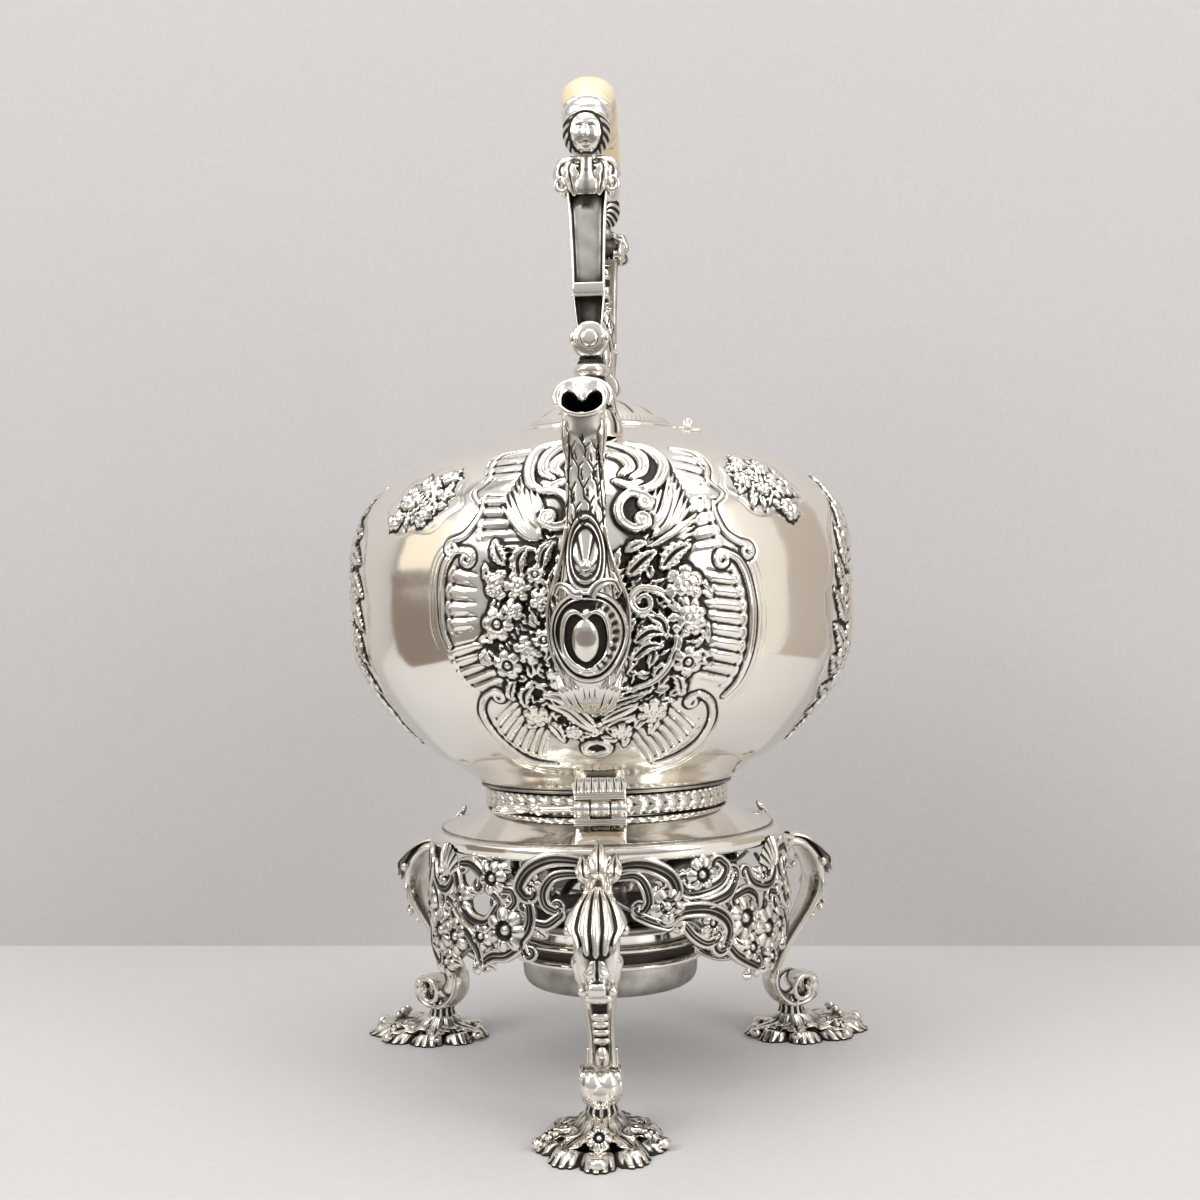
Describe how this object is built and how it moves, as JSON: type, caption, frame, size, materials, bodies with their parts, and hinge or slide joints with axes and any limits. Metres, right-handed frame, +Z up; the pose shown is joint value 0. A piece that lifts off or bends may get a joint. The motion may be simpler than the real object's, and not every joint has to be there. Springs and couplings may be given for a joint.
{
  "type": "tea kettle on a warmer stand",
  "caption": "Silver tea kettle with a swing handle and hinged lid, tilting on a hinge of a scroll-legged stand that holds a spirit burner.",
  "frame": {"origin": "middle of the footprint at table height, between the front foot's tip and the back of the body; the kettle's upright axis stands 11 mm behind it", "axes": "+Z up, spout and front foot towards -Y, the pull ring of the front pin towards -X"},
  "size_m": [0.2162, 0.222, 0.3868],
  "materials": {
    "polished_silver": "polished silver with chased ornament, darkened in the recesses",
    "cast_silver": "cast silver, bright on the high places and dark in the recesses",
    "ivory": "old ivory or bone with fine age cracks",
    "cotton_wick": "plain woven cotton"
  },
  "bodies": {
    "stand": {"foot_front": "cast_silver", "foot_right": "cast_silver", "foot_left": "cast_silver", "leg_front": "cast_silver", "leg_right": "cast_silver", "leg_left": "cast_silver", "apron_right": "cast_silver", "apron_rear": "cast_silver", "apron_left": "cast_silver", "burner_bracket_right": "cast_silver", "burner_bracket_rear": "cast_silver", "burner_bracket_left": "cast_silver", "stand_skirt": "polished_silver", "laurel_band": "cast_silver", "burner_ring": "polished_silver", "stand_hinge_leaf_front": "cast_silver", "stand_hinge_leaf_rear": "cast_silver"},
    "front_pin": {"hinge_pin_front": "polished_silver"},
    "rear_pin": {"hinge_pin_rear": "polished_silver"},
    "lamp": {"lamp_reservoir": "polished_silver", "lamp_top": "polished_silver", "wick_tube": "polished_silver", "wick": "cotton_wick"},
    "snuffer": {"snuffer_cap": "polished_silver"},
    "kettle": {"kettle_body": "polished_silver", "kettle_base": "polished_silver", "spout": "cast_silver", "spout_shield": "cast_silver", "lid_hinge_leaf": "polished_silver", "lid_hinge_pin": "polished_silver", "kettle_hinge_leaf_front": "cast_silver", "kettle_hinge_leaf_rear": "cast_silver", "handle_socket_front": "cast_silver", "handle_socket_rear": "cast_silver", "pivot_pin_front": "polished_silver", "pivot_pin_rear": "polished_silver"},
    "lid": {"lid": "polished_silver", "finial_washer": "polished_silver", "finial": "cast_silver"},
    "handle": {"handle_arm_front": "cast_silver", "handle_arm_rear": "cast_silver", "ferrule_front": "cast_silver", "ferrule_rear": "cast_silver", "grip": "ivory"}
  },
  "joints": [
    {"name": "kettle_tilt", "type": "hinge", "parent": "stand", "child": "kettle", "pos_m": [0, -0.0415, 0.1078], "axis": [1, 0, 0], "range_deg": [0, 45]},
    {"name": "handle_swing", "type": "hinge", "parent": "kettle", "child": "handle", "pos_m": [0, 0.011, 0.278], "axis": [0, 1, 0], "range_deg": [-80, 80]},
    {"name": "lid_open", "type": "hinge", "parent": "kettle", "child": "lid", "pos_m": [0.0354, 0.011, 0.2533], "axis": [0, 1, 0], "range_deg": [0, 100]},
    {"name": "front_pin_pull", "type": "slide", "parent": "stand", "child": "front_pin", "axis": [-1, 0, 0], "range_m": [0, 0.04]},
    {"name": "rear_pin_pull", "type": "slide", "parent": "stand", "child": "rear_pin", "axis": [1, 0, 0], "range_m": [-0.015, 0.02]},
    {"name": "lamp_lift", "type": "slide", "parent": "stand", "child": "lamp", "axis": [0, 0, 1], "range_m": [0, 0.02]},
    {"name": "snuffer_lift", "type": "slide", "parent": "lamp", "child": "snuffer", "axis": [0, 0, 1], "range_m": [0, 0.012]}
  ]
}
